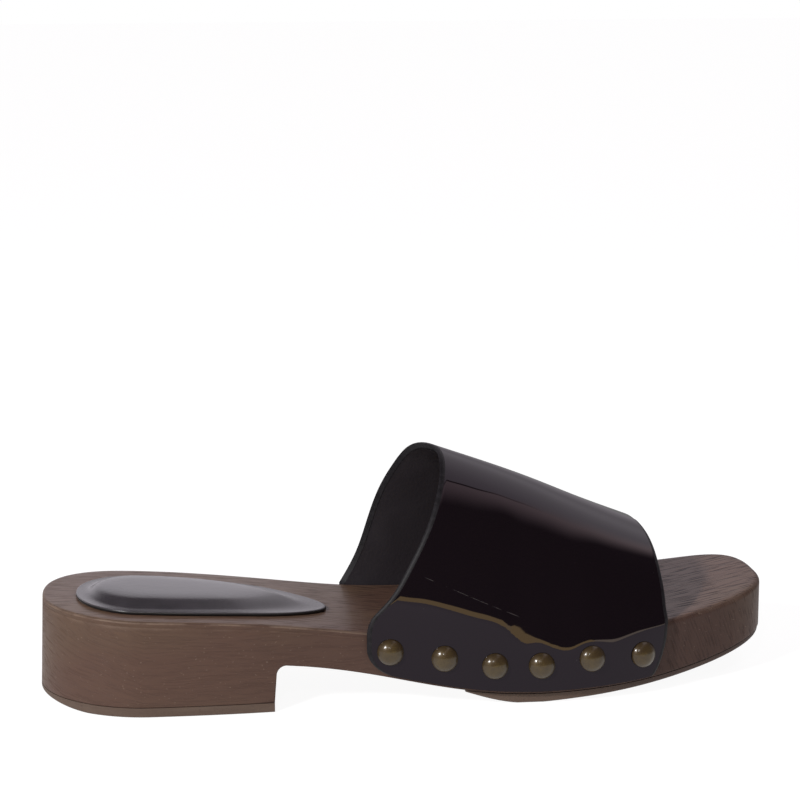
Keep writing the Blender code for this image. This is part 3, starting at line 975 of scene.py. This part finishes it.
def patent_finish(look):
    """Mirror-smooth black leather with dust, and two faint scratches low on the outer side."""
    constants = {"IOR": look.gloss_index, "Specular Tint": solid(look.gloss)}
    made, wire = new_finish("patent_leather", constants)
    place = own_place(wire)
    x, y, z = place.parts()
    outer_side = 1 - y.ramp(-2.0, 0.0)
    dust = place.noise(0.55, 1.0).ramp(0.82, 0.85)
    broken = place.stretched((0.45, 0.1, 0.45)).noise(1.0, 2.0).ramp(0.45, 0.60)
    scratches = 0.0
    for row in SCRATCHES:
        scratch = dict(zip(SCRATCH_COLUMNS, row))
        off_line = wire.math("ABSOLUTE", z - scratch["height"] + (x - scratch["start"]) * scratch["fall"])
        along = x.band(scratch["start"], scratch["end"], SCRATCH_FADE)
        scratches = scratches + (1 - off_line.ramp(*SCRATCH_HALF)) * along
    marks = scratches * broken * outer_side
    colour = (marks * 0.22 + dust * 0.12).mix(solid(look.patent), solid(look.mark))
    ripple = place.stretched((0.05, 0.06, 0.06)).noise(1.0, 1.0)
    return feed(made, {
        "Base Color": colour,
        "Roughness": look.gloss_roughness + marks * 0.25 + dust * 0.2,
        "Normal": ripple.bump(0.00008),
    })


def lining_finish(look):
    """Matt black lining leather with a fine pebbled grain."""
    made, wire = new_finish("lining_leather", {"IOR": 1.45, "Specular IOR Level": 0.3})
    place = own_place(wire)
    pebbles = place.node("TexVoronoi", {"feature": "F1"}, {"Vector": place, "Scale": 1.1})
    tone = place.noise(0.06, 3.0)
    colour = (tone.ramp(0.35, 0.70) * 0.6).mix(solid(look.lining), solid(look.lining_worn))
    return feed(made, {
        "Base Color": colour,
        "Roughness": 0.62 + tone * 0.15,
        "Normal": pebbles.bump(0.00006),
    })


def cut_edge_finish(look):
    """The strap's painted cut edge, matt and slightly fibrous."""
    made, wire = new_finish("cut_edge", {"IOR": 1.45, "Specular IOR Level": 0.2})
    place = own_place(wire)
    fibres = place.stretched((0.6, 0.6, 0.6)).noise(1.0, 4.0, 0.65)
    colour = fibres.ramp(0.35, 0.68).mix(solid(look.edge), solid(look.edge_worn))
    return feed(made, {
        "Base Color": colour,
        "Roughness": 0.40 + fibres * 0.2,
        "Normal": fibres.bump(0.00005),
    })


def pad_finish(look):
    """Soft dark grey leather with a fine grain and a satin sheen."""
    made, wire = new_finish("pad_leather", {"IOR": 1.57, "Sheen Weight": 0.04, "Sheen Roughness": 0.4})
    place = own_place(wire)
    pebbles = place.node("TexVoronoi", {"feature": "SMOOTH_F1"}, {"Vector": place, "Scale": 1.4})
    tone = place.noise(0.07, 3.0)
    wrinkles = place.stretched((0.35, 0.6, 0.6)).noise(1.0, 3.0, 0.6)
    _, _, facing = own_normal(wire).parts()
    cut = 1 - facing.ramp(0.05, 0.5)
    colour = tone.ramp(0.35, 0.68).mix(solid(look.leather), solid(look.leather_pale))
    colour = cut.mix(colour, solid(look.cut))
    relief = pebbles * 0.6 + wrinkles * 0.5
    return feed(made, {
        "Base Color": colour,
        "Roughness": 0.21 + tone * 0.08 + cut * 0.30,
        "Normal": relief.bump(0.00004),
    })


def brass_finish(look):
    """Antique brass: a dull dark patina, rubbed brighter on top of the dome, under clear lacquer."""
    constants = {
        "Metallic": look.metal,
        "Specular IOR Level": 0.1,
        "Coat Weight": 0.8,
        "Coat Roughness": look.lacquer_roughness,
        "Coat IOR": 1.45,
    }
    made, wire = new_finish("antique_brass", constants)
    place = own_place(wire)
    _, _, height = place.parts()
    clouds = place.noise(0.32, 4.0, 0.6)
    spots = place.noise(1.3, 3.0).ramp(0.58, 0.70)
    rubbed = height.ramp(0.8, 2.4) * clouds.ramp(0.30, 0.70)
    colour = rubbed.mix(solid(look.patina), solid(look.brass))
    colour = (spots * 0.4).mix(colour, solid(look.tarnish))
    return feed(made, {
        "Base Color": colour,
        "Roughness": 0.42 + clouds * 0.12 + spots * 0.10,
    })


# Settings


def a_length(name, description, default):
    return FloatProperty(name=name, description=description, default=default, unit="LENGTH", precision=4)


def a_share(name, description, default):
    return FloatProperty(name=name, description=description, default=default, min=0.0, subtype="FACTOR")


def an_angle(name, description, default):
    default = math.radians(default)
    return FloatProperty(name=name, description=description, default=default, subtype="ANGLE")


def a_colour(name, description, default):
    return FloatVectorProperty(
        name=name, description=description, default=default, size=3, min=0.0, max=1.0, subtype="COLOR"
    )


def a_glow(name, description, default):
    return FloatVectorProperty(name=name, description=description, default=default, size=3, min=0.0)


def an_amount(name, description, default, unit="NONE"):
    return FloatProperty(name=name, description=description, default=default, min=0.0, unit=unit)


class CLOG_PG_wood(PropertyGroup):
    """The sole's stain and its rubber"""

    brown: a_colour("Brown", "Main colour of the stained wood", (0.128, 0.080, 0.051))
    red_brown: a_colour("Red brown", "Warmer patches of the stain", (0.118, 0.067, 0.047))
    # This dark colour is painted shade on the wood's sides and on the rubber towards the toe. In the rubber
    # it also colours the real fine specks.
    dark: a_colour("Dark stain", "The deeper stain towards the toe", (0.040, 0.022, 0.019))
    thread: a_colour("Threads", "Darker threads of the grain", (0.050, 0.028, 0.022))
    pore: a_colour("Pores", "Short dark pores along the grain", (0.022, 0.013, 0.011))
    worn: a_colour("Worn", "Rubbed edges and specks", (0.235, 0.172, 0.130))
    rubber: a_colour("Rubber", "Lift and tread", (0.076, 0.047, 0.033))
    rubber_worn: a_colour("Worn rubber", "Scuffs on the lift and tread", (0.096, 0.065, 0.048))
    coat: a_share("Coat", "Weight of the satin coat on the footbed", 0.26)
    coat_roughness: a_share("Coat roughness", "Blur of the satin coat", 0.20)


class CLOG_PG_strap(PropertyGroup):
    """The strap's leather"""

    wall: a_length("Wall", "Thickness of the strap", 2.2 * MM)
    edge_round: a_length("Edge rounding", "Rounding of the strap's cut edge", 0.35 * MM)
    patent: a_colour("Patent", "Colour under the gloss", (0.0045, 0.0030, 0.0038))
    gloss: a_colour("Gloss", "Tint of the glossy skin", (0.97, 0.84, 1.0))
    mark: a_colour("Marks", "Scratches and dust", (0.16, 0.15, 0.15))
    lining: a_colour("Lining", "Inner face", (0.023, 0.019, 0.023))
    lining_worn: a_colour("Worn lining", "Paler parts of the inner face", (0.035, 0.030, 0.035))
    edge: a_colour("Cut edge", "Painted edge", (0.0055, 0.0048, 0.0060))
    edge_worn: a_colour("Worn edge", "Rubbed parts of the edge", (0.0115, 0.0102, 0.0125))
    gloss_index: an_amount("Gloss index", "Index of refraction of the glossy skin", 1.335)
    gloss_roughness: a_share("Gloss blur", "Roughness of the glossy skin", 0.02)


class CLOG_PG_pad(PropertyGroup):
    """The heel pad's leather"""

    leather: a_colour("Leather", "Main colour of the pad", (0.027, 0.025, 0.0285))
    leather_pale: a_colour("Pale leather", "Paler parts of the pad", (0.038, 0.035, 0.040))
    cut: a_colour("Cut edge", "The pad's raw edge", (0.006, 0.006, 0.007))
    fill: a_share("Fill", "How tightly the pad is filled", 0.5)


class CLOG_PG_nails(PropertyGroup):
    """The nails' metal"""

    brass: a_colour("Brass", "Rubbed brass", (0.064, 0.043, 0.0145))
    patina: a_colour("Patina", "Darkened brass round the dome", (0.045, 0.029, 0.012))
    tarnish: a_colour("Tarnish", "Dark spots", (0.022, 0.015, 0.008))
    metal: a_share("Metal", "How much bare metal shows through the patina", 0.3)
    lacquer_roughness: a_share("Lacquer blur", "Roughness of the clear lacquer", 0.20)


class CLOG_PG_stage(PropertyGroup):
    """Floor, light and camera"""

    camera_place: FloatVectorProperty(
        name="Camera place",
        description="Where the camera stands, from the back of the heel",
        default=(-0.0016, -0.8522, 0.2787),
        size=3,
        subtype="TRANSLATION",
        unit="LENGTH",
    )
    camera_turn: an_angle("Camera turn", "Turn of the view about the vertical", -8.45)
    camera_dip: an_angle("Camera dip", "How far the view points below the horizon", 11.77)
    focal: an_amount("Focal", "Focal length in pixels of the image", 2530.88)
    floor: a_colour("Floor", "Colour of the floor", (0.16, 0.16, 0.16))
    floor_mirrored: a_colour("Mirrored floor", "The floor behind the shoe in shiny faces", (0.2, 0.2, 0.2))
    floor_glow: an_amount("Floor glow", "Light given off by the floor", 0.93)
    overhead: an_amount("Overhead", "Light of the wide soft lamp overhead", 0.15)
    overhead_spread: an_angle("Overhead spread", "Width of the soft lamp overhead", 150.0)
    key_power: an_amount("Key", "Power of the key lamp", 13.0, "POWER")
    key_size: a_length("Key size", "Side of the key lamp", 0.12)
    spark_power: an_amount("Spark", "Power of the small lamp", 1.2, "POWER")
    spark_size: a_length("Spark size", "Side of the small lamp", 0.06)
    panel: a_glow("Bright panel", "Radiance of the panel up behind on the right", (0.97, 0.92, 0.98))
    spill: a_glow("Panel spill", "Radiance beside the panel", (1.25, 1.02, 1.0))
    sheet: a_glow("Back sheet", "Radiance of the pale sheet behind the shoe", (0.95, 0.92, 0.98))
    side_sheet: a_glow("Side sheet", "Radiance of the dim sheet on the left", (0.30, 0.28, 0.28))
    skirting: a_glow("Warm strip", "Radiance of the low warm strip in front", (3.4, 2.65, 1.05))
    pale_skirting: a_glow("Pale strip", "Radiance of the strip's right end", (2.9, 2.7, 1.9))
    room: a_glow("Room", "Radiance of the dim room", (0.105, 0.080, 0.098))


# Operators


class CLOG_OT_make_sole(Operator):
    """Builds the stained wooden sole with its rounded, worn edges"""

    bl_idname = "clog.make_sole"
    bl_label = "Wooden sole"

    def execute(self, context):
        add_piece("wooden_sole", sole_mesh(), [wood_finish(context.scene.clog_wood)], "sole")
        return {"FINISHED"}


class CLOG_OT_make_rubber(Operator):
    """Builds the rubber lift under the heel and the rubber tread under the forefoot"""

    bl_idname = "clog.make_rubber"
    bl_label = "Rubber lift and tread"

    def execute(self, context):
        finish = rubber_finish(context.scene.clog_wood)
        add_piece("heel_lift", heel_lift_mesh(), [finish], "heel_top_piece")
        add_piece("forefoot_rubber", tread_mesh(), [finish], "forefoot_tread")
        return {"FINISHED"}


class CLOG_OT_make_strap(Operator):
    """Builds the patent leather strap with its lining and cut edge"""

    bl_idname = "clog.make_strap"
    bl_label = "Patent strap"

    def execute(self, context):
        look = context.scene.clog_strap
        finishes = [patent_finish(look), lining_finish(look), cut_edge_finish(look)]
        piece = add_piece("patent_strap", strap_mesh(), finishes, "strap")
        give_wall(piece, look.wall, look.edge_round)
        return {"FINISHED"}


class CLOG_OT_make_pad(Operator):
    """Builds the padded leather seat on the heel"""

    bl_idname = "clog.make_pad"
    bl_label = "Heel pad"

    def execute(self, context):
        look = context.scene.clog_pad
        piece = add_piece("padded_seat", pad_mesh(), [pad_finish(look)], "heel_pad")
        return {"FINISHED"}


class CLOG_OT_make_nails(Operator):
    """Builds the domed brass nails along both flaps"""

    bl_idname = "clog.make_nails"
    bl_label = "Brass nails"

    def execute(self, context):
        finish = brass_finish(context.scene.clog_nails)
        for side in SIDES:
            for number in range(len(NAIL_PLACES)):
                name = f"nail_{side}_{number + 1}"
                seat = nail_seat(side, number)
                add_piece(f"brass_{name}", nail_mesh(), [finish], name, seat)
        return {"FINISHED"}


class CLOG_OT_set_stage(Operator):
    """Lays the floor and sets the light and the camera"""

    bl_idname = "clog.set_stage"
    bl_label = "Stage"

    def execute(self, context):
        stage = context.scene.clog_stage
        lay_floor(stage)
        light_room(context.scene, stage)
        add_lamps(stage)
        set_camera(context.scene, stage)
        context.scene.view_settings.view_transform = "Standard"
        return {"FINISHED"}


def lay_floor(stage):
    shape = bmesh.new()
    bmesh.ops.create_grid(shape, x_segments=1, y_segments=1, size=FLOOR_HALF)
    mesh = bpy.data.meshes.new("floor")
    shape.to_mesh(mesh)
    shape.free()
    constants = {
        "Base Color": solid(stage.floor),
        "Roughness": 0.9,
        "Specular IOR Level": 0.0,
        "Emission Strength": stage.floor_glow,
    }
    finish, wire = new_finish("pale_floor", constants)
    _, y, _ = own_place(wire).parts()
    mirrored = wire.node("LightPath", output="Is Glossy Ray")
    dimmed = mirrored * y.ramp(*DIM_BEHIND)
    feed(finish, {"Emission Color": dimmed.mix(solid(WHITE), solid(stage.floor_mirrored))})
    mesh.materials.append(finish)
    floor = bpy.data.objects.new("floor", mesh)
    floor.location.z = -FLOOR_DROP
    bpy.context.scene.collection.objects.link(floor)
    floor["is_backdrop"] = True


def light_room(scene, stage):
    """A dim room with a bright panel up behind, pale sheets behind and on the left, a warm strip in front."""
    world = bpy.data.worlds.new("studio")
    scene.world = world
    world.use_nodes = True
    wire = Wire(world.node_tree)
    way = wire.node("TexCoord", output="Generated")
    x, y, z = way.parts()
    height = wire.math("MAXIMUM", z, LOWEST_PLAN)
    plan_x = x / height
    plan_y = y / height
    edge_x, edge_y = PANEL_EDGE_WAY
    past_edge = plan_x * edge_y - plan_y * edge_x - PANEL_EDGE_DISTANCE
    along_edge = plan_x * edge_x + plan_y * edge_y
    blur = 0.006 + along_edge.ramp(0.55, 1.10) * 0.10
    beyond = (past_edge / blur).ramp(-1.0, 1.0)
    seam = past_edge.band(0.002, 0.012, 0.006) * (1 - along_edge.ramp(0.45, 0.80))
    dimming = 1 - along_edge.ramp(0.8, 2.0) * 0.5
    panel = (1 - beyond) * plan_x.ramp(0.14, 0.40) * plan_y.ramp(-0.40, 0.00) * z.ramp(0.22, 0.50) * dimming
    spill = beyond * (1 - past_edge.ramp(0.02, 0.26)) * z.ramp(0.3, 0.5)
    sheet = y.ramp(0.05, 0.5) * (1 - z.ramp(0.32, 0.68)) * (1 - x.ramp(0.12, 0.24) * 0.65)
    side_sheet = (1 - x.ramp(-0.75, -0.35)) * (1 - z.ramp(0.30, 0.70))
    ahead = 1 - y.ramp(-0.5, -0.3)
    strip_top = STRIP_HIGH + x.ramp(-0.14, 0.03) * (1 - x.ramp(0.38, 0.46)) * STRIP_SWELL
    above_low = z.ramp(STRIP_LOW - STRIP_BLUR, STRIP_LOW)
    strip = above_low * (1 - (z - strip_top).ramp(0.0, STRIP_BLUR)) * ahead
    on_right = x.ramp(0.40, 0.52)
    glows = (
        (panel * (1 - seam), stage.panel),
        (spill * (1 - seam), stage.spill),
        (sheet, stage.sheet),
        (side_sheet, stage.side_sheet),
        (strip * (1 - on_right), stage.skirting),
        (strip * on_right, stage.pale_skirting),
    )
    light = tuple(stage.room)
    for amount, radiance in glows:
        light = amount.tint(tuple(radiance)).plus(light)
    seen = wire.node("LightPath", output="Is Camera Ray")
    light = seen.mix(light, solid(WHITE))
    world.node_tree.links.new(light.socket, world.node_tree.nodes["Background"].inputs["Color"])


def add_square_lamp(name, power, size, way, mirrored):
    """A square lamp that shines on the shoe, mirrored by shiny faces or not."""
    data = bpy.data.lights.new(name, "AREA")
    data.energy = power
    data.size = size
    lamp = bpy.data.objects.new(name, data)
    way = Vector(way).normalized()
    lamp.location = way * LAMP_DISTANCE
    lamp.rotation_euler = way.to_track_quat("Z", "Y").to_euler()
    lamp.visible_glossy = mirrored
    bpy.context.scene.collection.objects.link(lamp)


def add_lamps(stage):
    """A key lamp up at the front left, a small one in front that sparkles, and a wide soft one overhead."""
    add_square_lamp("key", stage.key_power, stage.key_size, KEY_WAY, mirrored=True)
    add_square_lamp("spark", stage.spark_power, stage.spark_size, SPARK_WAY, mirrored=True)
    data = bpy.data.lights.new("overhead", "SUN")
    data.energy = stage.overhead
    data.angle = stage.overhead_spread
    overhead = bpy.data.objects.new("overhead", data)
    overhead.visible_glossy = False
    bpy.context.scene.collection.objects.link(overhead)


def set_camera(scene, stage):
    data = bpy.data.cameras.new("camera")
    data.sensor_width = SENSOR
    data.lens = stage.focal * SENSOR / IMAGE_SIDE
    data.clip_start, data.clip_end = CLIP
    camera = bpy.data.objects.new("camera", data)
    camera.location = SHOE_PLACE + Vector(stage.camera_place)
    camera.rotation_euler = (0.5 * math.pi - stage.camera_dip, 0.0, stage.camera_turn)
    scene.collection.objects.link(camera)
    scene.camera = camera


class CLOG_PT_pieces(Panel):
    """Lists the pieces of the clog mule and their settings"""

    bl_idname = "CLOG_PT_pieces"
    bl_label = "Clog mule"
    bl_space_type = "VIEW_3D"
    bl_region_type = "UI"
    bl_category = "Clog mule"

    def draw(self, context):
        for operator in OPERATORS:
            self.layout.operator(operator.bl_idname, text=operator.bl_label)
        for name, group in SETTINGS.items():
            box = self.layout.box()
            box.label(text=group.__doc__)
            for setting in group.__annotations__:
                box.prop(getattr(context.scene, name), setting)


OPERATORS = (
    CLOG_OT_make_sole,
    CLOG_OT_make_rubber,
    CLOG_OT_make_strap,
    CLOG_OT_make_pad,
    CLOG_OT_make_nails,
    CLOG_OT_set_stage,
)
SETTINGS = {
    "clog_wood": CLOG_PG_wood,
    "clog_strap": CLOG_PG_strap,
    "clog_pad": CLOG_PG_pad,
    "clog_nails": CLOG_PG_nails,
    "clog_stage": CLOG_PG_stage,
}
CLASSES = (*SETTINGS.values(), *OPERATORS, CLOG_PT_pieces)


def register():
    for each in CLASSES:
        bpy.utils.register_class(each)
    for name, group in SETTINGS.items():
        setattr(bpy.types.Scene, name, PointerProperty(type=group))


def unregister():
    for name in SETTINGS:
        delattr(bpy.types.Scene, name)
    for each in reversed(CLASSES):
        bpy.utils.unregister_class(each)


def main():
    register()
    bpy.ops.clog.make_sole()
    bpy.ops.clog.make_rubber()
    bpy.ops.clog.make_strap()
    bpy.ops.clog.make_pad()
    bpy.ops.clog.make_nails()
    bpy.ops.clog.set_stage()
    sizes = {"cad": CAD_BOX, "visual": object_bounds()}
    {name: [list(corner) for corner in box] for name, box in sizes.items()}


if __name__ == "__main__":
    main()
